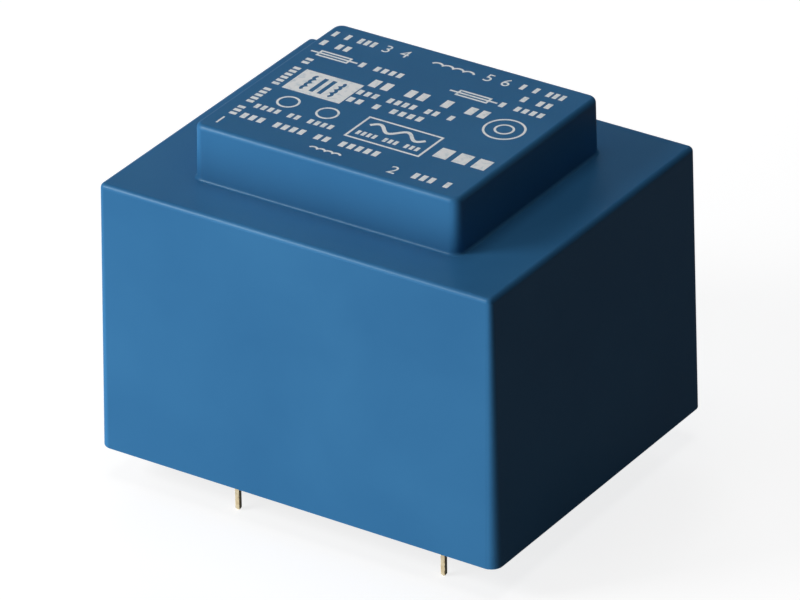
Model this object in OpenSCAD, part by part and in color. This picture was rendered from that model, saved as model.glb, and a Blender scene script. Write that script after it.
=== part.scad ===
// Encapsulated mains transformer for a printed circuit board: an EI core and a two-chamber coil,
// cast in resin inside a moulded cup, with six solder pins below. Millimetres.
// The origin is the middle of the pin field, in the plane of the board that the rim stands on.
// +X runs along the long side, +Z points away from the board, and the primary is at -Y.

/* [Core] */
// Width of the core's windows and outer limbs, and half the width of its centre limb
window_width = 9; // [8.5:0.25:10]
// Height of the stack of sheets
stack_height = 18.8; // [15:0.1:24]
// Thickness of one sheet
sheet_thickness = 0.5; // [0.35:0.05:0.65]
// Least room for the varnish between two sheets
varnish_gap = 0.02; // [0.01:0.01:0.04]
// Air gap between the limbs of an E sheet and its I sheet
butt_gap = 0.05; // [0.02:0.01:0.1]

/* [Coil former] */
// Wall of the tube and of the three flanges
former_wall = 1; // [0.8:0.1:1.3]
// Play between the centre limb and the tube
limb_play = 0.15; // [0.1:0.05:0.3]
// Play between each end flange and the yoke
yoke_play = 0.2; // [0.1:0.05:0.4]
// Play between the flanges and the outer limbs
flange_play = 0.4; // [0.2:0.1:0.8]
// Radius of the flanges' corners
flange_corner_radius = 1.2; // [0.5:0.1:2]
// Height of the flanges' lower edges above the terminal rails
flange_lift = 0.9; // [0.5:0.1:1.5]
// Height of the two terminal rails
rail_height = 3.5; // [3:0.1:4.5]
// Width of each rail across its row of pins
rail_width = 2; // [1.8:0.1:2.4]
// Gap between each rail and the cup
rail_gap = 0.35; // [0.3:0.05:1]
// Thickness of the floor that joins each rail to its flange
rail_floor = 1.6; // [1.2:0.1:2.5]
// Thickness of the ribs that carry the core
rib_thickness = 1.4; // [1:0.1:2]
// Length of each rib under the core
rib_seat = 3.5; // [2:0.5:6]
// Play of a wire at each side of its slot in the flange
slot_play = 0.3; // [0.1:0.1:0.5]

/* [Windings] */
// Room between each coil's outer tape and the flanges' rims
winding_room = 0.45; // [0.3:0.05:1]
// Thickness of the tape between and around the windings
tape_thickness = 0.2; // [0.1:0.05:0.3]
// Diameter of the primary's wire where it runs to the pins
primary_wire = 0.3; // [0.2:0.05:0.5]
// Diameter of the secondaries' wire where it runs to the pins
secondary_wire = 0.5; // [0.4:0.05:0.7]

/* [Pins] */
// Width of the square pins
pin_width = 0.6; // [0.5:0.05:0.8]
// Length of the pins below the rim
pin_length = 4.4; // [3:0.1:6]
// Length of the taper at the end of each pin
pin_point = 0.25; // [0.1:0.05:0.5]
// Grid that the pins stand on
pin_pitch = 5; // [4.8:0.01:5.08]
// Height of each pin's post above its rail
post_height = 2; // [1.6:0.1:2.4]
// Bare length of the posts above and below the solder
bare_post = 0.2; // [0.1:0.05:0.3]

/* [Cup] */
// Wall of the cup at its rim and around the foot of the raised part
wall = 1.1; // [1:0.1:1.6]
// Thickness of the cup's two ceilings
ceiling = 1.4; // [1:0.1:2]
// Gap between the core's ends and the cup
end_gap = 0.9; // [0.6:0.1:2]
// Gap between the core's long sides and the cup
side_gap = 0.3; // [0.3:0.1:1]
// Gap between the core and the lower ceiling
core_headroom = 2.1; // [1:0.1:4]
// Width of the four seats inside the cup that the core is set down on
seat_width = 3; // [2:0.5:6]
// Gap between the coil former and the upper ceiling
coil_headroom = 1; // [0.5:0.1:2]
// Gap between the flanges' sides and the raised part
flange_gap = 0.5; // [0.2:0.1:1]
// Gap between the end flanges and the raised part
coil_end_gap = 1.7; // [1:0.1:2.5]
// Radius of the cup's upright corners at the rim
corner_radius = 1.6; // [1.5:0.1:3]
// Radius of the raised part's upright corners at its foot
raised_corner_radius = 1.5; // [1.2:0.1:2.5]
// Radius along the upper edges
edge_radius = 0.7; // [0.3:0.05:0.8]
// Radius of the hollow where the raised part meets the ledge
foot_radius = 0.4; // [0.2:0.05:0.6]
// Radius of the upright corners inside the cup, at the rim
inner_corner_radius = 0.8; // [0.7:0.1:1]
// Radius along the upper edges inside the cup
inner_edge_radius = 0.3; // [0.1:0.05:0.35]
// Draft of the outer walls, in degrees
outer_draft = 1.2; // [0.6:0.1:1.3]
// Draft of the inner walls, in degrees
inner_draft = 0.4; // [0.2:0.1:0.5]

/* [Resin] */
// Depth of the resin's surface above the rim
resin_recess = 0.5; // [0.3:0.1:0.8]
// Height that the resin climbs at the walls
meniscus = 0.2; // [0.1:0.05:0.25]
// Resin under the terminal rails
rail_cover = 0.7; // [0.4:0.1:1.5]

/* [Hidden] */
$fn = 48;

ARC_STEPS = 6;        // strips along each rounded edge
MENISCUS_ANGLE = 30;  // of the resin's surface where it meets the wall
PRIMARY = -1;         // side of the primary's chamber and pins
SECONDARY = 1;        // side of the secondaries'
cut = 1;              // how far a cutting solid stands past a face

// Places of the pins along their rows, in steps of the grid from the middle
PRIMARY_STEPS = [-2, 4];
SECONDARY_STEPS = [[-4, -2], [2, 4]];
outer_step = max([for (steps = SECONDARY_STEPS) max(steps)]);

// Core
core_length = 6 * window_width;
core_width = 5 * window_width;
limb_width = 2 * window_width;
window_length = 3 * window_width;
sheets = floor((stack_height + varnish_gap) / (sheet_thickness + varnish_gap));
sheet_pitch = (stack_height - sheet_thickness) / (sheets - 1);

// Coil former
flange_reach = window_width - flange_play;       // from the centre limb outwards
flange_length = limb_width + 2 * flange_reach;      // along X
flange_height = stack_height + 2 * flange_reach;    // along Z
former_length = window_length - 2 * yoke_play;      // along Y
tube_length = limb_width + 2 * (limb_play + former_wall);
tube_height = stack_height + 2 * (limb_play + former_wall);
former_end = former_length / 2;
chamber_end = former_end - former_wall;

// Depths of the windings, measured outwards from the tube
coil_depth = flange_reach - limb_play - former_wall - winding_room;
primary_depth = coil_depth - tape_thickness;
secondary_depth = coil_depth / 2 - tape_thickness;

// Heights above the board
rail_bottom = resin_recess + rail_cover;
rail_top = rail_bottom + rail_height;
floor_top = rail_bottom + rail_floor;
flange_bottom = rail_top + flange_lift;
core_bottom = flange_bottom + flange_reach;
core_middle = core_bottom + stack_height / 2;
core_top = core_bottom + stack_height;
ledge_height = core_top + core_headroom + ceiling;
top_height = flange_bottom + flange_height + coil_headroom + ceiling;

// Cup
cup_length = core_length + 2 * (end_gap + wall);
cup_width = core_width + 2 * (side_gap + wall);
raised_length = flange_length + 2 * (flange_gap + wall);
raised_width = former_length + 2 * (coil_end_gap + wall);
seat_x = (core_length + raised_length) / 4;
seat_y = core_width / 4;

// Pins and their wires
rail_out = cup_width / 2 - wall - rail_gap;
rail_in = rail_out - rail_width;
pin_row = rail_out - rail_width / 2;
post_top = rail_top + post_height;
wire_height = rail_top + post_height / 2;
solder_radius = post_height / 2 - bare_post;
rail_length = 2 * (outer_step * pin_pitch + rail_width);

// Points of an arc about `middle`, between two angles
function arc(middle, radius, from, to) =
    [for (i = [0 : ARC_STEPS]) let (a = from + (to - from) * i / ARC_STEPS)
        middle + radius * [cos(a), sin(a)]];

// Rounded upper edge of a drafted wall, as [outwards, up] from the wall's foot
function drafted_edge(height, draft, radius) =
    let (inset = (radius + (height - radius) * sin(draft)) / cos(draft))
    [for (i = [0 : ARC_STEPS]) let (a = draft + (90 - draft) * i / ARC_STEPS)
        [radius * cos(a) - inset, height - radius * (1 - sin(a))]];

// Hollow between a level ledge and a drafted wall that rises from it, measured in the same way
function hollow_foot(radius, draft) =
    arc([radius * (1 - sin(draft)) / cos(draft), radius], radius, 270, 180 + draft);

// Surface of the resin where it climbs the cup's drafted wall
function meniscus_edge() =
    let (radius = meniscus / (1 - sin(MENISCUS_ANGLE)),
         wall_inset = (resin_recess - meniscus) * tan(inner_draft))
    arc([-radius * cos(MENISCUS_ANGLE) - wall_inset, resin_recess - radius], radius, 90, MENISCUS_ANGLE);

function moved(points, by) = [for (p = points) p + by];
function mirrored(points) = [for (i = [len(points) - 1 : -1 : 0]) [-points[i].x, points[i].y]];

// Block whose four walls have the profile `side`, with corners turned from the same profile
module moulded_block(length, width, corner, side) {
    straight = [length / 2 - corner, width / 2 - corner];
    rim = moved(side, [corner, 0]);
    for (turn = [0, 1]) {
        half = moved(rim, [straight[1 - turn], 0]);
        rotate(90 * turn) rotate([90, 0, 90]) linear_extrude(2 * straight[turn], center = true)
            polygon(concat(half, mirrored(half)));
    }
    for (mirror_x = [0, 1], mirror_y = [0, 1]) mirror([mirror_x, 0, 0]) mirror([0, mirror_y, 0])
        translate([straight.x, straight.y, 0]) rotate_extrude(angle = 90)
            polygon(concat([[0, rim[0].y]], rim, [[0, rim[len(rim) - 1].y]]));
}

module rounded_rectangle(length, height, corner) {
    square([length - 2 * corner, height], center = true);
    square([length, height - 2 * corner], center = true);
    for (x = [-1, 1], y = [-1, 1])
        translate([x * (length / 2 - corner), y * (height / 2 - corner)]) circle(corner);
}

// Extrudes a section of the coil away from its middle, on the primary's or the secondaries' side
module along_coil(side, from, to) {
    mirror([0, side == PRIMARY ? 1 : 0, 0]) translate([0, from, core_middle]) rotate([90, 0, 180])
        linear_extrude(to - from) children();
}

// Outline of the coil at a depth outside its tube
module coil_outline(depth) {
    if (depth == 0) square([tube_length, tube_height], center = true);
    else rounded_rectangle(tube_length + 2 * depth, tube_height + 2 * depth, depth);
}

// What is wound in one chamber, between two depths
module wound(side, from, to) {
    along_coil(side, former_wall / 2, chamber_end) difference() {
        coil_outline(to);
        coil_outline(from);
    }
}

function lead_exit(side, step, depth, wire) =
    [step / outer_step * limb_width / 2, side * (former_end - former_wall / 2),
     core_middle - tube_height / 2 - depth + wire];
function post(side, step) = [step * pin_pitch, side * pin_row, wire_height];

// End of a winding's wire, from inside the winding to its post
module lead(side, step, depth, wire) {
    run = post(side, step) - lead_exit(side, step, depth, wire);
    start = post(side, step) - run * (1 + 1.5 * former_wall / norm(run));
    translate(start) rotate([0, acos(run.z / norm(run)), atan2(run.y, run.x)])
        cylinder(d = wire, h = norm(post(side, step) - start));
}

// Slot that a wire leaves its chamber by, from the floor up to just under the tube
module lead_slot(side, step, wire) {
    exit = lead_exit(side, step, 0, wire);
    run = post(side, step) - exit;
    width = (former_wall * abs(run.x) + wire * norm([run.x, run.y])) / abs(run.y) + 2 * slot_play;
    slot_height = core_middle - tube_height / 2 - slot_play - floor_top;
    translate([exit.x - width / 2, exit.y - former_wall / 2 - cut, floor_top])
        cube([width, former_wall + 2 * cut, slot_height]);
}

module pin(side, step) {
    half = pin_width / 2;
    end = [[half, post_top], [half, pin_point - pin_length], [half / 2, -pin_length]];
    color("#c9b88a") translate([step * pin_pitch, side * pin_row, 0]) intersection_for (turn = [0, 90])
        rotate([90, 0, turn]) translate([0, 0, -pin_width])
            linear_extrude(2 * pin_width) polygon(concat(end, mirrored(end)));
}

module pin_column(side, step) {
    translate([step * pin_pitch, side * pin_row, (post_top - pin_length) / 2])
        cube([pin_width, pin_width, post_top + pin_length], center = true);
}

module winding(side, from, to, steps, wire) {
    color("#b5622d") difference() {
        union() {
            wound(side, from, to);
            for (step = steps) lead(side, step, to, wire);
        }
        for (step = steps) pin_column(side, step);
    }
}

module primary_winding() winding(PRIMARY, 0, primary_depth, PRIMARY_STEPS, primary_wire);
module primary_tape() color("#e3c64a") wound(PRIMARY, primary_depth, coil_depth);

module secondary_winding(index) {
    from = index * (secondary_depth + tape_thickness);
    winding(SECONDARY, from, from + secondary_depth, SECONDARY_STEPS[index], secondary_wire);
}

module secondary_tape(index) {
    from = (index + 1) * secondary_depth + index * tape_thickness;
    color("#e3c64a") wound(SECONDARY, from, from + tape_thickness);
}

// Every lead's cylinder
module leads() {
    for (step = PRIMARY_STEPS) lead(PRIMARY, step, primary_depth, primary_wire);
    for (index = [0, 1], step = SECONDARY_STEPS[index])
        lead(SECONDARY, step, (index + 1) * secondary_depth + index * tape_thickness, secondary_wire);
}

module every_pin_column() {
    for (step = PRIMARY_STEPS) pin_column(PRIMARY, step);
    for (steps = SECONDARY_STEPS, step = steps) pin_column(SECONDARY, step);
}

module solder_balls() {
    for (step = PRIMARY_STEPS) translate(post(PRIMARY, step)) sphere(solder_radius);
    for (steps = SECONDARY_STEPS, step = steps) translate(post(SECONDARY, step)) sphere(solder_radius);
}

module solder_joints() {
    color("#b9bcc0") difference() {
        solder_balls();
        every_pin_column();
        leads();
    }
}

// Sheets alternate: the yoke of one E lies over the I of the next
module each_sheet() {
    for (i = [0 : sheets - 1]) translate([0, 0, core_bottom + i * sheet_pitch])
        mirror([0, i % 2, 0]) linear_extrude(sheet_thickness) children();
}

module e_sheets() {
    limb_end = window_length / 2 - butt_gap;
    color("#8a8f96") each_sheet() difference() {
        translate([-core_length / 2, -core_width / 2]) square([core_length, core_width / 2 + limb_end]);
        for (x = [-1, 1]) translate([x * 1.5 * window_width, cut / 2])
            square([window_width, window_length + cut], center = true);
    }
}

module i_sheets() {
    color("#9aa0a8") each_sheet() translate([-core_length / 2, window_length / 2])
        square([core_length, window_width]);
}

module core_envelope() {
    translate([0, 0, core_bottom]) linear_extrude(stack_height) difference() {
        square([core_length, core_width], center = true);
        for (x = [-1, 1]) translate([x * 1.5 * window_width, 0])
            square([window_width, window_length], center = true);
    }
}

// One end of the coil former: floor, rail and three ribs, which reach into the core's place
// and are cut off at its underside
module terminal_end() {
    bay_length = (rail_length - 3 * rib_thickness) / 2;
    difference() {
        rotate([90, 0, 90]) linear_extrude(rail_length, center = true)
            polygon([[chamber_end, rail_bottom], [rail_out, rail_bottom], [rail_out, rail_top],
                     [rail_in, rail_top], [former_end + rib_seat, core_bottom],
                     [former_end + rib_seat, core_bottom + cut], [chamber_end, core_bottom + cut]]);
        for (x = [-1, 1]) translate([x * (rib_thickness + bay_length) / 2, 0, 0])
            rotate([90, 0, 90]) linear_extrude(bay_length, center = true)
                polygon([[chamber_end - cut, floor_top], [rail_in, floor_top],
                         [rail_in, core_top], [chamber_end - cut, core_top]]);
    }
}

// End flange, with the skirt that joins it to the floor
module end_flange() {
    rounded_rectangle(flange_length, flange_height, flange_corner_radius);
    skirt_top = flange_bottom + flange_corner_radius - core_middle;
    skirt_bottom = rail_bottom + rail_floor / 2 - core_middle;
    translate([-rail_length / 2, skirt_bottom]) square([rail_length, skirt_top - skirt_bottom]);
}

module coil_former() {
    color("#e6dfc8") difference() {
        for (side = [PRIMARY, SECONDARY]) {
            along_coil(side, 0, former_end - former_wall / 2)
                square([tube_length, tube_height], center = true);
            along_coil(side, 0, former_wall / 2)
                rounded_rectangle(flange_length, flange_height, flange_corner_radius);
            along_coil(side, chamber_end, former_end) end_flange();
            mirror([0, side == PRIMARY ? 1 : 0, 0]) terminal_end();
        }
        core_envelope();
        translate([0, 0, core_middle]) cube([limb_width + 2 * limb_play, former_length + 2 * cut,
            stack_height + 2 * limb_play], center = true);
        for (step = PRIMARY_STEPS) lead_slot(PRIMARY, step, primary_wire);
        for (steps = SECONDARY_STEPS, step = steps) lead_slot(SECONDARY, step, secondary_wire);
        every_pin_column();
    }
}

// Inside of the cup, from the profile `foot` at the rim up to its two ceilings
module cup_room(foot) {
    difference() {
        union() {
            moulded_block(cup_length - 2 * wall, cup_width - 2 * wall, inner_corner_radius,
                concat(foot, drafted_edge(ledge_height - ceiling, inner_draft, inner_edge_radius)));
            translate([0, 0, core_top]) moulded_block(raised_length - 2 * wall, raised_width - 2 * wall,
                inner_corner_radius, concat([[0, 0]],
                drafted_edge(top_height - ceiling - core_top, inner_draft, inner_edge_radius)));
        }
        for (x = [-seat_x, seat_x], y = [-seat_y, seat_y]) translate([x - seat_width / 2,
            y - seat_width / 2, core_top]) cube([seat_width, seat_width, core_headroom + cut]);
    }
}

module cup() {
    color("#2f6f9f") difference() {
        union() {
            moulded_block(cup_length, cup_width, corner_radius,
                concat([[0, 0]], drafted_edge(ledge_height, outer_draft, edge_radius)));
            translate([0, 0, ledge_height]) {
                foot = hollow_foot(foot_radius, outer_draft);
                moulded_block(raised_length, raised_width, raised_corner_radius,
                    concat([[foot[0].x, -ceiling / 2]], foot,
                           drafted_edge(top_height - ledge_height, outer_draft, edge_radius)));
            }
        }
        cup_room([[0, -cut], [0, 0]]);
    }
}

module resin() {
    color("#2a2c30") difference() {
        cup_room(meniscus_edge());
        core_envelope();
        coil_former();
        for (side = [PRIMARY, SECONDARY]) along_coil(side, 0, chamber_end) coil_outline(coil_depth);
        translate([0, 0, core_middle])
            cube([tube_length - former_wall, window_length, tube_height - former_wall], center = true);
        leads();
        solder_balls();
        every_pin_column();
    }
}

cup();
resin();
e_sheets();
i_sheets();
coil_former();
primary_winding();
primary_tape();
secondary_winding(0);  // secondary_winding_1
secondary_tape(0);  // interwinding_tape
secondary_winding(1);  // secondary_winding_2
secondary_tape(1);
pin(PRIMARY, PRIMARY_STEPS[0]);  // primary_pin_1
pin(PRIMARY, PRIMARY_STEPS[1]);  // primary_pin_2
pin(SECONDARY, SECONDARY_STEPS[0][0]);  // secondary_pin_1
pin(SECONDARY, SECONDARY_STEPS[0][1]);  // secondary_pin_2
pin(SECONDARY, SECONDARY_STEPS[1][0]);  // secondary_pin_3
pin(SECONDARY, SECONDARY_STEPS[1][1]);  // secondary_pin_4
solder_joints();
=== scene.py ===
"""Looks of the encapsulated transformer: moulded cup, printed top, resin, pins and the inside."""

import math

import bmesh
import bpy
from bpy.props import FloatProperty, FloatVectorProperty, IntProperty, PointerProperty
from mathutils import Matrix, Quaternion, Vector
from mathutils.geometry import tessellate_polygon


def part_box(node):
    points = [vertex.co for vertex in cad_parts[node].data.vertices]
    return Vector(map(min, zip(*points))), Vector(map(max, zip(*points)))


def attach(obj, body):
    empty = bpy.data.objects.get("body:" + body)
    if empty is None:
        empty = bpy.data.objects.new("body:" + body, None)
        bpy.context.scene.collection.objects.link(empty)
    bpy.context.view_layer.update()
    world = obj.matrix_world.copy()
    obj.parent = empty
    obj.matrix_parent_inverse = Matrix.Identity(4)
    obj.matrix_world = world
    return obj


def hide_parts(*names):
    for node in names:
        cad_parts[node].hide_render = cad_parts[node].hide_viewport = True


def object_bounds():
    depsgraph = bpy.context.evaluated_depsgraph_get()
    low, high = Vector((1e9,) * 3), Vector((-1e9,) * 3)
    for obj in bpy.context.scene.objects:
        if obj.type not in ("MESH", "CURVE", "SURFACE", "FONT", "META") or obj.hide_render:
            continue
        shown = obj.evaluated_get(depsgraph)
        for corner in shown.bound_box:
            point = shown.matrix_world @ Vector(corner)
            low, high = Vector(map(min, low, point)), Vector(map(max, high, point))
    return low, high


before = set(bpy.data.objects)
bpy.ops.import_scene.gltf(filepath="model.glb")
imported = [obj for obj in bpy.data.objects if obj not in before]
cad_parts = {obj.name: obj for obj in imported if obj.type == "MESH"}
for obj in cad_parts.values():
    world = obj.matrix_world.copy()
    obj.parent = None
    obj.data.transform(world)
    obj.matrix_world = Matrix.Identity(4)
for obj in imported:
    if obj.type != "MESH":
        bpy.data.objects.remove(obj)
CAD_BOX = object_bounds()

bl_info = {
    "name": "Encapsulated Transformer Looks",
    "version": (1, 0, 0),
    "blender": (4, 5, 0),
    "location": "View3D > Sidebar > Transformer",
    "description": "Dresses the packed transformer: cup, print, resin, pins, inside and studio",
    "category": "Object",
}

MM = 0.001
BODY = "root"
TOP = CAD_BOX[1].z
BOARD_SIDE = CAD_BOX[0].z
PIN_NODES = sorted(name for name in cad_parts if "_pin_" in name)
SHEET_NODES = ["e_sheets", "i_sheets"]
WINDING_NODES = ["primary_winding", "secondary_winding_1", "secondary_winding_2"]
TAPE_NODES = ["primary_tape", "interwinding_tape", "secondary_tape"]


# ---------------------------------------------------------------- settings


def length(name, description, millimetres):
    return FloatProperty(name=name, description=description, default=millimetres * MM, min=0,
                         unit="LENGTH", subtype="DISTANCE", precision=5)


def angle(name, description, degrees):
    return FloatProperty(name=name, description=description, default=math.radians(degrees),
                         unit="ROTATION", subtype="ANGLE")


def share(name, description, default):
    return FloatProperty(name=name, description=description, default=default, min=0, max=4)


def linear(channel):
    """An 8-bit sRGB channel as a linear value."""
    value = channel / 255
    return value / 12.92 if value <= 0.04045 else ((value + 0.055) / 1.055) ** 2.4


def colour(name, description, red, green, blue):
    return FloatVectorProperty(name=name, description=description, subtype="COLOR", size=3,
                               min=0, max=1, default=[linear(c) for c in (red, green, blue)])


class TRANSFORMER_PG_cup(bpy.types.PropertyGroup):
    ledge_height: length("Ledge height", "Height of the ledge round the raised part", 36.5)
    raised_length: length("Raised length", "Length of the raised part at its foot", 38.4)
    raised_width: length("Raised width", "Width of the raised part at its foot", 32.2)
    wall: length("Wall", "Wall at the rim and round the foot of the raised part", 1.1)
    ceiling: length("Ceiling", "Thickness of the two ceilings", 1.4)
    corner_radius: length("Corner radius", "Upright corners at the rim", 1.6)
    raised_corner_radius: length("Raised corner radius", "Upright corners of the raised part", 1.5)
    edge_radius: length("Edge radius", "Rounding along the upper edges", 0.7)
    foot_radius: length("Foot radius", "Hollow where the raised part meets the ledge", 0.4)
    rim_radius: length("Rim radius", "Broken edges of the rim", 0.12)
    inner_corner_radius: length("Inner corner radius", "Upright corners inside", 0.8)
    inner_edge_radius: length("Inner edge radius", "Rounding under the ceilings", 0.3)
    outer_draft: angle("Outer draft", "Draft of the outer walls", 1.2)
    inner_draft: angle("Inner draft", "Draft of the inner walls", 0.4)
    seat_width: length("Seat width", "Width of the four seats that the core is set down on", 3)
    arc_steps: IntProperty(name="Arc steps", description="Strips along each rounding", default=10, min=2)
    corner_steps: IntProperty(name="Corner steps", description="Strips round each corner", default=16,
                              min=2)
    side_steps: IntProperty(name="Side steps", description="Strips along each side", default=8, min=1)


class TRANSFORMER_PG_plastic(bpy.types.PropertyGroup):
    blue: colour("Blue", "Colour of the moulded cup", 52, 111, 158)
    pale_blue: colour("Pale blue", "Where the pigment lies thinner", 55, 115, 162)
    deep_blue: colour("Deep blue", "Where the pigment lies denser", 49, 107, 154)
    roughness: share("Roughness", "Roughness of the moulded surface", 0.36)
    grain_size: length("Grain size", "Size of the fine moulding grain", 0.25)
    grain_depth: length("Grain depth", "Depth of the fine moulding grain", 0.003)
    wave_size: length("Wave size", "Size of the slow waves that shrinkage leaves", 14)
    wave_depth: length("Wave depth", "Depth of the slow waves", 0.03)


class TRANSFORMER_PG_print(bpy.types.PropertyGroup):
    ink: colour("Ink", "Colour of the print", 252, 254, 255)
    worn_ink: colour("Worn ink", "Where the ink is thin", 222, 232, 238)
    thickness: length("Ink thickness", "How far the print stands above the plastic", 0.012)
    stroke: length("Stroke", "Width of the printed lines", 0.3)


class TRANSFORMER_PG_stage(bpy.types.PropertyGroup):
    yaw: angle("Yaw", "How far the camera stands round to the right", 33.66)
    elevation: angle("Elevation", "How far the camera stands above the horizon", 28.82)
    roll: angle("Roll", "Roll of the camera", -0.98)
    distance: length("Distance", "From the camera to the point it looks at", 940.4)
    aim_height: length("Aim height", "Height of the point that the camera looks at", 17.67)
    lens: FloatProperty(name="Lens", description="Focal length in millimetres", default=345.0, min=1)
    key: share("Key", "Level of the lamp at the front left, above", 0.39)
    front: share("Front", "Level of the lamp in front, just above the table", 0.27)
    table_left: share("Table left", "Level of the light sent up by a pale table, at the left", 0.71)
    table_front: share("Table front", "Level of the light sent up by a pale table, in front", 0.82)
    overhead: share("Overhead", "Level of the lamp above", 0.27)
    rear: share("Rear", "Level of the lamp behind, at the left", 0.47)
    below: share("Below", "Level of the light that reaches the underside", 0.4)
    room: share("Room", "Brightness of the room round the object", 0.03)


SETTINGS = {
    "transformer_cup": TRANSFORMER_PG_cup,
    "transformer_plastic": TRANSFORMER_PG_plastic,
    "transformer_print": TRANSFORMER_PG_print,
    "transformer_stage": TRANSFORMER_PG_stage,
}


# ---------------------------------------------------------------- shader nodes


def add_node(tree, kind, inputs=None, **settings):
    """A node with its settings and inputs. An input is a value or another node's output."""
    node = tree.nodes.new(kind)
    for key, value in settings.items():
        setattr(node, key, value)
    for key, value in (inputs or {}).items():
        if isinstance(value, bpy.types.NodeSocket):
            tree.links.new(value, node.inputs[key])
        else:
            node.inputs[key].default_value = value
    return node


def opaque(rgb):
    return (*rgb[:3], 1.0)


def calculate(tree, operation, *values):
    return add_node(tree, "ShaderNodeMath", dict(enumerate(values)), operation=operation).outputs[0]


def remap(tree, value, low, high, to_low=0.0, to_high=1.0):
    return add_node(tree, "ShaderNodeMapRange", {
        "Value": value, "From Min": low, "From Max": high, "To Min": to_low, "To Max": to_high,
    }).outputs["Result"]


def mix_colours(tree, factor, first, second):
    """Mixes two colours, each one an output or three linear values."""
    values = [c if isinstance(c, bpy.types.NodeSocket) else opaque(c) for c in (first, second)]
    node = add_node(tree, "ShaderNodeMix", {0: factor, 6: values[0], 7: values[1]}, data_type="RGBA")
    return node.outputs[2]


def noise(tree, vector, size, detail=2.0, **more):
    """Noise from 0 to 1 with features of a given size, which is a length or an output."""
    scale = calculate(tree, "DIVIDE", 1.0, size) if isinstance(size, bpy.types.NodeSocket) else 1 / size
    inputs = {"Vector": vector, "Scale": scale, "Detail": detail, **more}
    return add_node(tree, "ShaderNodeTexNoise", inputs).outputs["Fac"]


def object_place(tree):
    return add_node(tree, "ShaderNodeTexCoord").outputs["Object"]


def effect_group(name, inputs, outputs, build):
    """The shader node group of that name, built the first time that a material asks for it."""
    if name not in bpy.data.node_groups:
        group = bpy.data.node_groups.new(name, "ShaderNodeTree")
        for label, kind, default in inputs:
            group.interface.new_socket(label, in_out="INPUT", socket_type=kind).default_value = default
        for label, kind in outputs:
            group.interface.new_socket(label, in_out="OUTPUT", socket_type=kind)
        given = add_node(group, "NodeGroupInput").outputs
        results = build(group, given)
        add_node(group, "NodeGroupOutput", dict(zip([label for label, _ in outputs], results)))
    return bpy.data.node_groups[name]


def grain_effect():
    """Fine grain and slow waves of a moulded or cast surface, as one height in metres."""

    def build(group, given):
        place = object_place(group)
        fine = noise(group, place, given["Grain Size"], 3.0)
        slow = noise(group, place, given["Wave Size"], 1.0)
        height = calculate(group, "ADD", calculate(group, "MULTIPLY", fine, given["Grain Depth"]),
                           calculate(group, "MULTIPLY", slow, given["Wave Depth"]))
        return height, fine

    lengths = [(n, "NodeSocketFloat", d) for n, d in (
        ("Grain Size", 0.25 * MM), ("Grain Depth", 0.003 * MM),
        ("Wave Size", 14 * MM), ("Wave Depth", 0.03 * MM))]
    return effect_group("surface grain", lengths,
                        [("Height", "NodeSocketFloat"), ("Grain", "NodeSocketFloat")], build)


def drift_effect():
    """Slow change between three tones of one colour, as pigment and flow leave it."""

    def build(group, given):
        cloud = noise(group, object_place(group), given["Size"], 4.0, Distortion=0.4)
        lower = mix_colours(group, remap(group, cloud, 0.3, 0.5), given["Dark"], given["Middle"])
        return [mix_colours(group, remap(group, cloud, 0.5, 0.7), lower, given["Light"])]

    tones = [(n, "NodeSocketColor", (0.5, 0.5, 0.5, 1.0)) for n in ("Light", "Middle", "Dark")]
    return effect_group("tone drift", [*tones, ("Size", "NodeSocketFloat", 20 * MM)],
                        [("Colour", "NodeSocketColor")], build)


def place_effect(tree, group, **inputs):
    """Places an effect in a material with that material's own values."""
    node = add_node(tree, "ShaderNodeGroup", node_tree=group)
    for key, value in inputs.items():
        node.inputs[key.replace("_", " ")].default_value = value
    return node.outputs


def new_material(name, **constants):
    """A material whose Principled shader has these constants on its own sockets."""
    material = bpy.data.materials.new(name)
    material.use_nodes = True
    tree = material.node_tree
    tree.nodes.clear()
    shader = add_node(tree, "ShaderNodeBsdfPrincipled")
    for key, value in constants.items():
        shader.inputs[key.replace("_", " ")].default_value = value
    add_node(tree, "ShaderNodeOutputMaterial", {"Surface": shader.outputs[0]})
    return material, tree, shader.inputs


def bump(tree, height):
    """The normal of a surface with that height, in metres."""
    return add_node(tree, "ShaderNodeBump", {
        "Height": height, "Strength": 1.0, "Distance": 1.0}).outputs["Normal"]


def grain_values(size, depth, wave_size, wave_depth):
    """Inputs of the surface grain, from millimetres."""
    return {"Grain_Size": size * MM, "Grain_Depth": depth * MM,
            "Wave_Size": wave_size * MM, "Wave_Depth": wave_depth * MM}


def toned_material(name, tones, drift_size, roughness, rough_spread, grain, **constants):
    """A finish of three drifting tones, from light to dark, with surface grain."""
    material, tree, shader = new_material(name, **constants)
    tones = dict(zip(("Light", "Middle", "Dark"), (opaque(t) for t in tones)))
    drift = place_effect(tree, drift_effect(), Size=drift_size, **tones)
    surface = place_effect(tree, grain_effect(), **grain)
    tree.links.new(drift["Colour"], shader["Base Color"])
    rough = remap(tree, surface["Grain"], 0.3, 0.7, roughness - rough_spread, roughness + rough_spread)
    tree.links.new(rough, shader["Roughness"])
    tree.links.new(bump(tree, surface["Height"]), shader["Normal"])
    return material


def rgb(red, green, blue):
    return [linear(c) for c in (red, green, blue)]


def blue_plastic(context):
    look = context.scene.transformer_plastic
    grain = {"Grain_Size": look.grain_size, "Grain_Depth": look.grain_depth,
             "Wave_Size": look.wave_size, "Wave_Depth": look.wave_depth}
    return toned_material("blue_moulded_plastic", (look.pale_blue, look.blue, look.deep_blue), 18 * MM,
                          look.roughness, 0.04, grain, IOR=1.5, Specular_Tint=(0.75, 0.93, 1.0, 1.0))


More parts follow.
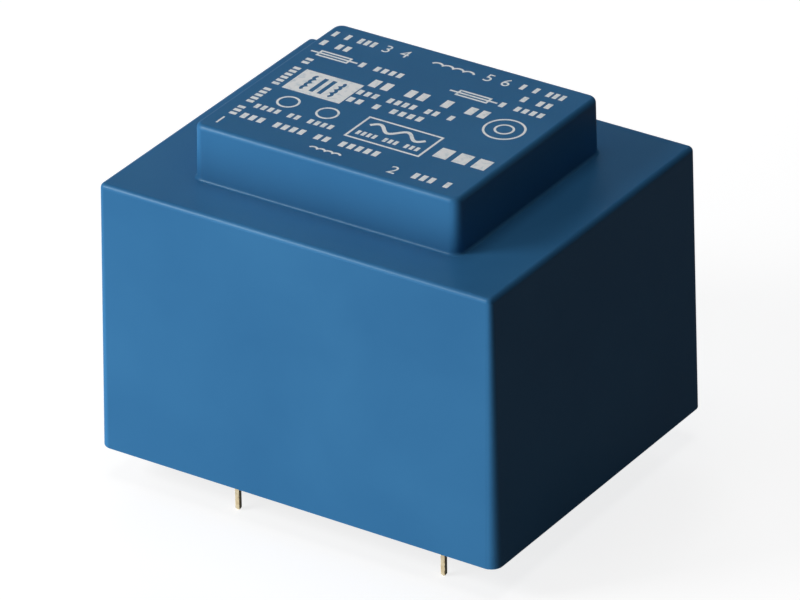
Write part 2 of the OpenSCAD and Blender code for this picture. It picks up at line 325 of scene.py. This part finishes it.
def potting_resin():
    tones = rgb(58, 60, 64), rgb(46, 48, 52), rgb(38, 40, 44)
    return toned_material("potting_resin", tones, 7 * MM, 0.32, 0.05,
                          grain_values(0.6, 0.006, 9, 0.1), IOR=1.52)


def printing_ink(context):
    look = context.scene.transformer_print
    tones = look.ink, look.ink, look.worn_ink
    return toned_material("white_printing_ink", tones, 0.9 * MM, 0.55, 0.08,
                          grain_values(0.12, 0.004, 3, 0), IOR=1.45)


def tinned_brass():
    """Drawn brass dulled by a thin coat of tin: pale, with fine lines along the wire."""
    material, tree, shader = new_material("tinned_brass", Metallic=0.3)
    place = object_place(tree)
    stretched = add_node(tree, "ShaderNodeMapping", {
        "Vector": place, "Scale": (1.0, 1.0, 0.06)}).outputs[0]
    lines = noise(tree, stretched, 0.05 * MM, 2.0)
    cloud = noise(tree, place, 0.8 * MM, 3.0)
    tone = mix_colours(tree, remap(tree, cloud, 0.35, 0.65), rgb(246, 232, 198), rgb(226, 204, 160))
    tree.links.new(tone, shader["Base Color"])
    tree.links.new(remap(tree, lines, 0.3, 0.7, 0.34, 0.5), shader["Roughness"])
    tree.links.new(bump(tree, calculate(tree, "MULTIPLY", lines, 0.004 * MM)), shader["Normal"])
    return material


def core_steel():
    """Cut edges of the silicon steel sheets, with varnish between them and bluing from the anneal."""
    material, tree, shader = new_material("varnished_core_steel", Metallic=0.85)
    place = object_place(tree)
    streak = noise(tree, add_node(tree, "ShaderNodeMapping", {
        "Vector": place, "Scale": (1.0, 1.0, 12.0)}).outputs[0], 4 * MM, 4.0)
    cloud = noise(tree, place, 9 * MM, 3.0)
    tone = mix_colours(tree, remap(tree, cloud, 0.3, 0.7), rgb(98, 102, 108), rgb(128, 122, 112))
    tree.links.new(tone, shader["Base Color"])
    tree.links.new(remap(tree, streak, 0.3, 0.7, 0.35, 0.6), shader["Roughness"])
    tree.links.new(bump(tree, calculate(tree, "MULTIPLY", streak, 0.02 * MM)), shader["Normal"])
    return material


def enamelled_copper():
    """Turns of enamelled wire side by side round the coil, with painted shade in the grooves between
    turns and a painted highlight on their crowns.
    """
    material, tree, shader = new_material("enamelled_copper", Metallic=1.0, Coat_Weight=0.6,
                                          Coat_Roughness=0.15)
    place = object_place(tree)
    turns = add_node(tree, "ShaderNodeTexWave", {
        "Vector": place, "Scale": 1 / (0.3 * MM) / 6.3, "Distortion": 0.6, "Detail": 1.0},
        wave_type="BANDS", bands_direction="Y").outputs["Fac"]
    # Painted shade and painted highlight: the copper is darker in the grooves between turns and lighter
    # on their crowns, following the bump of each turn.
    tone = mix_colours(tree, turns, rgb(118, 50, 22), rgb(196, 104, 58))
    tree.links.new(tone, shader["Base Color"])
    tree.links.new(remap(tree, turns, 0.0, 1.0, 0.4, 0.24), shader["Roughness"])
    tree.links.new(bump(tree, calculate(tree, "MULTIPLY", turns, 0.1 * MM)), shader["Normal"])
    return material


def winding_tape():
    tones = rgb(236, 204, 96), rgb(226, 190, 78), rgb(206, 168, 62)
    return toned_material("polyester_tape", tones, 5 * MM, 0.3, 0.06,
                          grain_values(0.5, 0.004, 4, 0.08), IOR=1.6)


def former_plastic():
    tones = rgb(60, 60, 62), rgb(48, 48, 50), rgb(38, 38, 40)
    return toned_material("glass_filled_nylon", tones, 6 * MM, 0.5, 0.08,
                          grain_values(0.35, 0.008, 8, 0.03), IOR=1.53)


def soft_solder():
    tones = rgb(206, 208, 212), rgb(188, 190, 195), rgb(160, 163, 170)
    return toned_material("soft_solder", tones, 0.8 * MM, 0.3, 0.08,
                          grain_values(0.18, 0.01, 1, 0.03), Metallic=1.0)


# ---------------------------------------------------------------- mesh helpers


def rounded_ring(half_x, half_y, radius, corner_steps, side_steps):
    """Points of a rounded rectangle, anticlockwise from the end of its +X side."""
    points = []
    for quarter, (sign_x, sign_y) in enumerate(((1, 1), (-1, 1), (-1, -1), (1, -1))):
        centre = Vector((sign_x * (half_x - radius), sign_y * (half_y - radius)))
        corner = []
        for step in range(corner_steps + 1):
            turn = math.pi / 2 * (quarter + step / corner_steps)
            corner.append(centre + radius * Vector((math.cos(turn), math.sin(turn))))
        points.append(corner)
    ring = []
    for corner, following in zip(points, points[1:] + points[:1]):
        ring += corner
        ring += [corner[-1].lerp(following[0], step / side_steps) for step in range(1, side_steps)]
    return ring


def loft(rings):
    """A closed mesh through rings of 3D points, with a flat cap on the first and on the last."""
    made = bmesh.new()
    loops = [[made.verts.new(point) for point in ring] for ring in rings]
    made.faces.new(loops[0])
    made.faces.new(reversed(loops[-1]))
    for near, far in zip(loops, loops[1:]):
        for i in range(len(near)):
            j = (i + 1) % len(near)
            made.faces.new((near[i], far[i], far[j], near[j]))
    return made


def make_piece(name, made, material, sharp=40):
    """A named object from a bmesh, shaded smooth up to an angle, that rides on the body."""
    mesh = bpy.data.meshes.new(name)
    made.to_mesh(mesh)
    made.free()
    mesh.materials.append(material)
    mesh.shade_smooth()
    mesh.set_sharp_from_angle(angle=math.radians(sharp))
    piece = bpy.data.objects.new(name, mesh)
    bpy.context.scene.collection.objects.link(piece)
    piece.modifiers.new("flat faces first", "WEIGHTED_NORMAL").keep_sharp = True
    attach(piece, BODY)
    return piece


def finish_node(name, material):
    """Gives a CAD node its material."""
    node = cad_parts[name]
    node.data.materials.clear()
    node.data.materials.append(material)


def join_solids(base, other):
    """The mesh of two solids united by a Boolean modifier. Both are bmeshes, and both are freed."""
    objects = []
    for label, made in (("base", base), ("other", other)):
        mesh = bpy.data.meshes.new(label)
        made.to_mesh(mesh)
        made.free()
        objects.append(bpy.data.objects.new(label, mesh))
        bpy.context.scene.collection.objects.link(objects[-1])
    union = objects[0].modifiers.new("union", "BOOLEAN")
    union.operation = "UNION"
    union.solver = "EXACT"
    union.object = objects[1]
    graph = bpy.context.evaluated_depsgraph_get()
    joined = bmesh.new()
    joined.from_mesh(objects[0].evaluated_get(graph).to_mesh())
    for o in objects:
        bpy.data.objects.remove(o)
    return joined


# ---------------------------------------------------------------- cup


def drafted_edge(height, draft, radius, steps):
    """Rounded upper edge of a drafted wall, as (outwards, up) from the wall's foot."""
    inset = (radius + (height - radius) * math.sin(draft)) / math.cos(draft)
    turns = [draft + (math.pi / 2 - draft) * i / steps for i in range(steps + 1)]
    return [(radius * math.cos(t) - inset, height - radius * (1 - math.sin(t))) for t in turns]


def hollow_foot(radius, draft, steps):
    """Hollow between a level ledge and the drafted wall above it, measured in the same way."""
    out = radius * (1 - math.sin(draft)) / math.cos(draft)
    turns = [math.pi * 1.5 - (math.pi / 2 - draft) * i / steps for i in range(steps + 1)]
    return [(out + radius * math.cos(t), radius + radius * math.sin(t)) for t in turns]


def cup_rings(cup):
    """Rings of the whole cup, from the middle of its top over the rim to its upper ceiling."""
    half = (CAD_BOX[1].x, CAD_BOX[1].y)
    raised = (cup.raised_length / 2, cup.raised_width / 2)
    steps, rim = cup.arc_steps, cup.rim_radius
    rings = []

    def add(halves, radius, base, profile):
        for out, up in profile:
            plan = rounded_ring(halves[0] + out, halves[1] + out, radius + out,
                                cup.corner_steps, cup.side_steps)
            rings.append([(*point, base + up) for point in plan])

    top = TOP - bpy.context.scene.transformer_print.thickness
    foot = hollow_foot(cup.foot_radius, cup.outer_draft, steps)
    upper = drafted_edge(top - cup.ledge_height, cup.outer_draft, cup.edge_radius, steps)
    add(raised, cup.raised_corner_radius, cup.ledge_height, upper[::-1] + foot[::-1])
    outside = drafted_edge(cup.ledge_height, cup.outer_draft, cup.edge_radius, steps)
    add(half, cup.corner_radius, 0, outside[::-1])
    quarter = [math.pi / 2 * i / steps for i in range(steps + 1)]
    add(half, cup.corner_radius, 0,
        [(rim * (math.cos(t) - 1), rim * (1 - math.sin(t))) for t in quarter])

    room = (half[0] - cup.wall, half[1] - cup.wall)
    add(room, cup.inner_corner_radius, 0,
        [(rim * (1 - math.sin(t)), rim * (1 - math.cos(t))) for t in quarter])
    ceiling = cup.ledge_height - cup.ceiling
    add(room, cup.inner_corner_radius, 0,
        drafted_edge(ceiling, cup.inner_draft, cup.inner_edge_radius, steps))
    room = (raised[0] - cup.wall, raised[1] - cup.wall)
    upper_ceiling = TOP - cup.ceiling - ceiling
    add(room, cup.inner_corner_radius, ceiling, [(0, 0)])
    add(room, cup.inner_corner_radius, ceiling,
        drafted_edge(upper_ceiling, cup.inner_draft, cup.inner_edge_radius, steps))
    return rings


def cup_seats(cup):
    """The four seats under the lower ceiling that the core is set down on."""
    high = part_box("e_sheets")[1]
    top = cup.ledge_height - cup.ceiling / 2
    seats = bmesh.new()
    for sign_x in (-1, 1):
        for sign_y in (-1, 1):
            middle = Vector((sign_x * (high.x * 2 + cup.raised_length) / 4, sign_y * high.y / 2,
                             (high.z + top) / 2))
            size = Matrix.Diagonal((cup.seat_width, cup.seat_width, top - high.z, 1))
            bmesh.ops.create_cube(seats, size=1, matrix=Matrix.Translation(middle) @ size)
    return seats


class TRANSFORMER_OT_cup(bpy.types.Operator):
    """Moulds the stepped cup, with its drafted walls, rounded edges and seats, in blue plastic"""

    bl_idname = "transformer.cup"
    bl_label = "Mould the Cup"

    def execute(self, context):
        cup = context.scene.transformer_cup
        made = join_solids(loft(cup_rings(cup)), cup_seats(cup))
        piece = make_piece("moulded_cup", made, blue_plastic(context))
        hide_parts("cup")
        return {"FINISHED"}


# ---------------------------------------------------------------- print


# The print is laid out in millimetres from the middle of the top, and read from the primary's side.
NUMBER_SIZE = 2.6
PIN_NUMBERS = {"1": (-17.4, -14.2), "2": (7.6, -14.2), "3": (-10.4, 12.0), "4": (-7.8, 12.0),
               "5": (4.4, 12.0), "6": (6.9, 12.0)}
# Left end, foot, length and height of each row, and how many blocks each of its groups has
BLOCK_ROWS = [
    (-17.8, 12.3, 6.6, 1.35, (1, 1, 3)),
    (-17.8, 9.6, 4.6, 1.35, (1, 2)),
    (-10.4, 7.1, 6.6, 1.2, (1, 4)),
    (9.6, 12.3, 6.6, 1.35, (1, 1, 3)),
    (11.4, 9.6, 4.6, 1.35, (1, 2)),
    (9.9, 7.1, 6.6, 1.2, (1, 4)),
    (-6.5, 3.4, 17.4, 1.9, (2, 2, 1, 2)),
    (-6.6, 0.9, 14.2, 1.2, (3, 4, 2, 1)),
    (-6.6, -1.3, 11.2, 1.2, (2, 1, 4)),
    (-15.2, -8.6, 11.6, 1.1, (4, 2, 4)),
    (-15.2, -11.6, 20.2, 1.3, (3, 4, 2, 5)),
    (11.0, -13.9, 5.6, 1.4, (3, 1)),
]
UPRIGHT_ROW = (-15.9, -11.4, 17.6, 1.0, (3, 5, 6, 2))
FUSE_LENGTH, FUSE_HEIGHT, FUSE_Y = 6.8, 1.5, 7.7
FUSE_STARTS = (-17.6, 2.7)
PANEL = (-1.8, -9.0, 10.8, 5.8)
ROUND_MARK = (13.9, 2.4)
ROUND_MARK_RADII = (2.7, 1.3)
SQUARE_STARTS = (10.2, 12.9, 15.6)
SMALL_RING_CENTRES = (-12.3, -6.6)
WHITE_BLOCK = (-15.2, -2.4, 8.4, 5.6)


def bar(x, y, width, height):
    """Outline of a rectangle from its lower left corner."""
    return [Vector(p) for p in ((x, y), (x + width, y), (x + width, y + height), (x, y + height))]


def circle(x, y, radius, steps=48):
    turns = [math.tau * i / steps for i in range(steps)]
    return [Vector((x + radius * math.cos(t), y + radius * math.sin(t))) for t in turns]


def line_along(points, width):
    """Outline of a line of that width along 2D points, with mitred bends."""
    points = [Vector(p) for p in points]
    left, right = [], []
    for i, point in enumerate(points):
        near = [(b - a).normalized() for a, b in zip(points, points[1:])][max(i - 1, 0):i + 1]
        along = sum(near, Vector((0, 0))).normalized()
        across = Vector((-along.y, along.x)) * width / 2 / along.dot(near[-1])
        left.append(point + across)
        right.append(point - across)
    return left + right[::-1]


def coil_line(x, y, turn, count, width, upright=False):
    """Outline of a coil drawn as a row of humps, from its lower left end."""
    points, radius = [], turn / math.sqrt(3)
    for hump in range(count):
        for step in range(9):
            t = math.radians(150 - 15 * step)
            across = turn * (hump + 0.5) + radius * math.cos(t)
            up = radius * (math.sin(t) - 0.5)
            if not points or step:
                points.append((x + up, y + across) if upright else (x + across, y + up))
    return line_along(points, width)


def block_row(x, y, length, height, groups):
    """Marks of one row: groups of blocks, with the room of one block between groups."""
    pitch = length / (sum(groups) + len(groups) - 1)
    marks, place = [], 0
    for blocks in groups:
        marks += [[bar(x + (place + i) * pitch, y, pitch * 0.62, height)] for i in range(blocks)]
        place += blocks + 1
    return marks


def upright_row(x, y, length, height, groups):
    """The same row turned by a quarter, so that it runs along +Y."""
    return [[[Vector((x - p.y, y + p.x)) for p in outline] for outline in mark]
            for mark in block_row(0, 0, length, height, groups)]


def fuse_symbol(x, y, length, stroke):
    """Marks of a fuse symbol round a middle line at y: a long box, and its wire right through it."""
    lead, high = length * 0.16, FUSE_HEIGHT
    inner = length - 2 * lead - 2 * stroke
    return [
        [bar(x + lead, y - high / 2, length - 2 * lead, high),
         bar(x + lead + stroke, y - high / 2 + stroke, inner, high - 2 * stroke)],
        [bar(x, y - stroke / 2, lead, stroke)],
        [bar(x + lead + stroke, y - stroke / 2, inner, stroke)],
        [bar(x + length - lead, y - stroke / 2, lead, stroke)],
    ]


def ink_solid(marks):
    """Closed thin solids of ink. A mark is its outline followed by the outlines of its holes."""
    low_z = TOP - 2.5 * bpy.context.scene.transformer_print.thickness
    made = bmesh.new()
    for mark in marks:
        points = [p * MM for outline in mark for p in outline]
        low, high = ([made.verts.new((p.x, p.y, z)) for p in points] for z in (low_z, TOP))
        for triangle in tessellate_polygon([[p.to_3d() for p in outline] for outline in mark]):
            made.faces.new([high[i] for i in triangle])
            made.faces.new([low[i] for i in reversed(triangle)])
        first = 0
        for outline in mark:
            for i in range(len(outline)):
                a, b = first + i, first + (i + 1) % len(outline)
                made.faces.new((low[a], low[b], high[b], high[a]))
            first += len(outline)
    bmesh.ops.recalc_face_normals(made, faces=made.faces)
    return made


def number_solid(numbers, size):
    """Plain numbers in the built-in font, as thin solids of ink. numbers maps each one to its place."""
    half = 1.25 * bpy.context.scene.transformer_print.thickness
    made = bmesh.new()
    for text, (x, y) in numbers.items():
        curve = bpy.data.curves.new("number", "FONT")
        curve.body, curve.size, curve.extrude, curve.resolution_u = text, size * MM, half, 6
        lettering = bpy.data.objects.new("number", curve)
        bpy.context.scene.collection.objects.link(lettering)
        graph = bpy.context.evaluated_depsgraph_get()
        one = lettering.evaluated_get(graph).to_mesh()
        one.transform(Matrix.Translation((x * MM, y * MM, TOP - half)))
        made.from_mesh(one)
        bpy.data.objects.remove(lettering)
        bpy.data.curves.remove(curve)
    bmesh.ops.remove_doubles(made, verts=made.verts, dist=0.0005 * MM)
    return made


def ring(x, y, radius, stroke):
    """A drawn circle as one mark."""
    return [circle(x, y, radius), circle(x, y, radius - stroke)]


def printed_rows():
    """Rows of blocks in place of the wording."""
    marks = [mark for row in BLOCK_ROWS for mark in block_row(*row)]
    return marks + upright_row(*UPRIGHT_ROW)


def printed_symbols(stroke):
    """Fuses, coils, a framed panel with a wave, rings and squares."""
    x, y, width, height = PANEL
    wave = [(x + 1.3 + i * 0.25, y + 3.9 + 0.75 * math.sin(i * math.tau / 16)) for i in range(33)]
    return [
        *[mark for start in FUSE_STARTS for mark in fuse_symbol(start, FUSE_Y, FUSE_LENGTH, stroke)],
        [coil_line(-3.0, 12.6, 1.5, 4, stroke)],
        [coil_line(-3.6, -13.6, 1.1, 4, stroke)],
        [bar(x, y, width, height),
         bar(x + stroke, y + stroke, width - 2 * stroke, height - 2 * stroke)],
        [line_along(wave, stroke * 1.6)],
        *block_row(x + 0.9, y + 1.1, 9.2, 1.0, (4, 3, 3)),
        *[ring(*ROUND_MARK, radius, stroke) for radius in ROUND_MARK_RADII],
        *[[bar(start, -7.9, 1.9, 2.5)] for start in SQUARE_STARTS],
        *[ring(centre, -5.2, 1.5, stroke) for centre in SMALL_RING_CENTRES],
    ]


def printed_block(stroke):
    """A white block with the symbol of a transformer left open in it: two coils and a core."""
    x, y, width, height = WHITE_BLOCK
    middle, foot = x + width / 2, y + 0.9
    coil = coil_line(middle + 1.9, foot, 0.95, 4, 1.5 * stroke, upright=True)
    core = [bar(middle + side - stroke, foot, 2 * stroke, height - 1.8) for side in (-0.6, 0.6)]
    return [[bar(x, y, width, height), *core, coil, [Vector((2 * middle - p.x, p.y)) for p in coil]]]


class TRANSFORMER_OT_print(bpy.types.Operator):
    """Prints the top in white: pin numbers, rows of blocks and plain symbols"""

    bl_idname = "transformer.print"
    bl_label = "Print the Top"

    def execute(self, context):
        ink = printing_ink(context)
        stroke = context.scene.transformer_print.stroke / MM
        make_piece("printed_numbers", number_solid(PIN_NUMBERS, NUMBER_SIZE), ink)
        make_piece("printed_rows", ink_solid(printed_rows()), ink)
        make_piece("printed_symbols", ink_solid(printed_symbols(stroke)), ink)
        make_piece("printed_block", ink_solid(printed_block(stroke)), ink)
        return {"FINISHED"}


# ---------------------------------------------------------------- pins


def pin_rings(low, high):
    """Rings of one square pin with broken edges, from its top end to its point."""
    centre, half = (low + high) / 2, (high.x - low.x) / 2
    taper, edge = 0.25 * MM, 0.06 * MM
    shoulder, point = 0.58, 0.48
    levels = [(high.z, 1.0), (low.z + taper, 1.0), (low.z + edge / 2, shoulder), (low.z, point)]
    rings = []
    for height, width in levels:
        plan = rounded_ring(half * width, half * width, edge * width, 4, 1)
        rings.append([(centre.x + p.x, centre.y + p.y, height) for p in plan])
    return rings


class TRANSFORMER_OT_pins(bpy.types.Operator):
    """Makes the six square pins with broken edges, in tinned brass"""

    bl_idname = "transformer.pins"
    bl_label = "Make the Pins"

    def execute(self, context):
        material = tinned_brass()
        for name in PIN_NODES:
            piece = make_piece(name + "_wire", loft(pin_rings(*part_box(name))), material, 30)
            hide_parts(name)
        return {"FINISHED"}


# ---------------------------------------------------------------- inside


class TRANSFORMER_OT_inside(bpy.types.Operator):
    """Finishes the resin and what is cast in it: core, coil former, windings, tapes and solder"""

    bl_idname = "transformer.inside"
    bl_label = "Finish the Inside"

    def execute(self, context):
        for names, material in (
            (["resin"], potting_resin()),
            (SHEET_NODES, core_steel()),
            (["coil_former"], former_plastic()),
            (WINDING_NODES, enamelled_copper()),
            (TAPE_NODES, winding_tape()),
            (["solder_joints"], soft_solder()),
        ):
            for name in names:
                finish_node(name, material)
        return {"FINISHED"}


# ---------------------------------------------------------------- stage


LAMP_DISTANCE = 0.5
FLOOR_RADIUS = 3.0
FLOOR_FADE = (0.1, 0.3)  # the floor turns plain white between these distances


def direction(azimuth, elevation):
    """Unit vector from the object. Azimuth is 0 at the front and grows to the right, in degrees."""
    a, e = math.radians(azimuth), math.radians(elevation)
    return Vector((math.sin(a) * math.cos(e), -math.cos(a) * math.cos(e), math.sin(e)))


def add_lamp(name, azimuth, elevation, size, level, mirrored=True):
    """A square lamp. At a level of 1 a surface that faces it shows its own colour.

    A lamp that isn't mirrored lights the object, but doesn't show as a reflection in it."""
    light = bpy.data.lights.new(name, "AREA")
    light.shape = "SQUARE"
    light.size = size
    light.energy = level * math.pi ** 2 * LAMP_DISTANCE ** 2
    lamp = bpy.data.objects.new(name, light)
    bpy.context.scene.collection.objects.link(lamp)
    towards = direction(azimuth, elevation)
    centre = Vector((0, 0, TOP / 2))
    lamp.location = centre + towards * LAMP_DISTANCE
    lamp.rotation_mode = "QUATERNION"
    lamp.rotation_quaternion = towards.to_track_quat("Z", "Y")
    lamp.visible_camera = False
    lamp.visible_glossy = mirrored


def add_camera(stage):
    data = bpy.data.cameras.new("camera")
    data.lens = stage.lens
    data.clip_start, data.clip_end = 0.01, 100
    camera = bpy.data.objects.new("camera", data)
    bpy.context.scene.collection.objects.link(camera)
    back = direction(math.degrees(stage.yaw), math.degrees(stage.elevation))
    camera.location = Vector((0, 0, stage.aim_height)) + back * stage.distance
    camera.rotation_mode = "QUATERNION"
    level = back.to_track_quat("Z", "Y")
    camera.rotation_quaternion = level @ Quaternion((0, 0, 1), stage.roll)
    bpy.context.scene.camera = camera


def seen_directly(tree, *rays):
    """1 for the kinds of ray that see the background, and 0 for the rest."""
    path = add_node(tree, "ShaderNodeLightPath")
    seen = path.outputs[rays[0]]
    for ray in rays[1:]:
        seen = calculate(tree, "MAXIMUM", seen, path.outputs[ray])
    return seen


def add_world(stage):
    """A room that is white to the eye and dim to the object."""
    world = bpy.data.worlds.new("studio")
    bpy.context.scene.world = world
    world.use_nodes = True
    tree = world.node_tree
    tree.nodes.clear()
    dim = add_node(tree, "ShaderNodeBackground", {"Color": (0.9, 0.95, 1, 1), "Strength": stage.room})
    white = add_node(tree, "ShaderNodeBackground", {"Color": (1, 1, 1, 1), "Strength": 1.0})
    seen = seen_directly(tree, "Is Camera Ray", "Is Transmission Ray")
    mixed = add_node(tree, "ShaderNodeMixShader", {0: seen, 1: dim.outputs[0], 2: white.outputs[0]})
    add_node(tree, "ShaderNodeOutputWorld", {"Surface": mixed.outputs[0]})


def add_floor(stage):
    """A pale floor at the pins' points. It keeps the object's shadow, and from below it isn't seen."""
    made = bmesh.new()
    bmesh.ops.create_circle(made, cap_ends=True, segments=96, radius=FLOOR_RADIUS)
    mesh = bpy.data.meshes.new("floor")
    made.to_mesh(mesh)
    made.free()
    floor = bpy.data.objects.new("floor", mesh)
    bpy.context.scene.collection.objects.link(floor)
    floor.location.z = BOARD_SIDE
    floor.visible_shadow = False

    material = bpy.data.materials.new("pale_floor")
    material.use_nodes = True
    tree = material.node_tree
    tree.nodes.clear()
    place = object_place(tree)
    away = add_node(tree, "ShaderNodeVectorMath", {0: place}, operation="LENGTH").outputs["Value"]
    far = remap(tree, away, *FLOOR_FADE)
    white = add_node(tree, "ShaderNodeEmission", {"Color": (1, 1, 1, 1), "Strength": 1.0})
    pale = add_node(tree, "ShaderNodeEmission", {"Color": (1, 1, 1, 1), "Strength": 0.8})
    lit = add_node(tree, "ShaderNodeBsdfDiffuse", {"Color": (0.35, 0.35, 0.35, 1)})
    near = add_node(tree, "ShaderNodeAddShader", {0: pale.outputs[0], 1: lit.outputs[0]})
    to_eye = add_node(tree, "ShaderNodeMixShader", {0: far, 1: near.outputs[0], 2: white.outputs[0]})
    dim = add_node(tree, "ShaderNodeBsdfDiffuse", {"Color": (0.16, 0.16, 0.16, 1)})
    seen = seen_directly(tree, "Is Camera Ray", "Is Transmission Ray")
    front = add_node(tree, "ShaderNodeMixShader", {0: seen, 1: dim.outputs[0], 2: to_eye.outputs[0]})
    under = add_node(tree, "ShaderNodeNewGeometry").outputs["Backfacing"]
    clear = add_node(tree, "ShaderNodeBsdfTransparent")
    both = add_node(tree, "ShaderNodeMixShader", {0: under, 1: front.outputs[0], 2: clear.outputs[0]})
    add_node(tree, "ShaderNodeOutputMaterial", {"Surface": both.outputs[0]})
    mesh.materials.append(material)


class TRANSFORMER_OT_stage(bpy.types.Operator):
    """Sets up the camera, the soft lamps, the white surroundings and the pale floor"""

    bl_idname = "transformer.stage"
    bl_label = "Set the Stage"

    def execute(self, context):
        stage = context.scene.transformer_stage
        add_camera(stage)
        add_world(stage)
        add_floor(stage)
        add_lamp("key", -45, 33, 0.16, stage.key)
        add_lamp("front", -25, 8, 0.16, stage.front, mirrored=False)
        add_lamp("table_left", -50, -20, 0.3, stage.table_left, mirrored=False)
        add_lamp("table_front", -20, -20, 0.3, stage.table_front, mirrored=False)
        add_lamp("overhead", 0, 90, 0.3, stage.overhead, mirrored=False)
        add_lamp("rear", -145, 12, 0.25, stage.rear, mirrored=False)
        sun = bpy.data.lights.new("below", "SUN")
        sun.energy = stage.below * math.pi
        sun.angle = math.radians(20)
        lamp = bpy.data.objects.new("below", sun)
        lamp.rotation_euler.x = math.pi
        context.scene.collection.objects.link(lamp)
        context.scene.view_settings.view_transform = "Standard"
        return {"FINISHED"}


# ---------------------------------------------------------------- panel and registration


OPERATORS = (TRANSFORMER_OT_stage, TRANSFORMER_OT_cup, TRANSFORMER_OT_print, TRANSFORMER_OT_pins,
             TRANSFORMER_OT_inside)


class TRANSFORMER_PT_looks(bpy.types.Panel):
    """Lists the steps that dress the transformer, and their settings"""

    bl_idname = "TRANSFORMER_PT_looks"
    bl_label = "Transformer Looks"
    bl_space_type = "VIEW_3D"
    bl_region_type = "UI"
    bl_category = "Transformer"

    def draw(self, context):
        for operator in OPERATORS:
            self.layout.operator(operator.bl_idname)
        for name in SETTINGS:
            box = self.layout.box()
            settings = getattr(context.scene, name)
            for key in settings.__annotations__:
                box.prop(settings, key)


def register():
    for cls in (*SETTINGS.values(), *OPERATORS, TRANSFORMER_PT_looks):
        bpy.utils.register_class(cls)
    for name, cls in SETTINGS.items():
        setattr(bpy.types.Scene, name, PointerProperty(type=cls))


def unregister():
    for name in SETTINGS:
        delattr(bpy.types.Scene, name)
    for cls in reversed((*SETTINGS.values(), *OPERATORS, TRANSFORMER_PT_looks)):
        bpy.utils.unregister_class(cls)


def main():
    register()
    for operator in OPERATORS:
        group, name = operator.bl_idname.split(".")
        getattr(getattr(bpy.ops, group), name)()


if __name__ == "__main__":
    main()
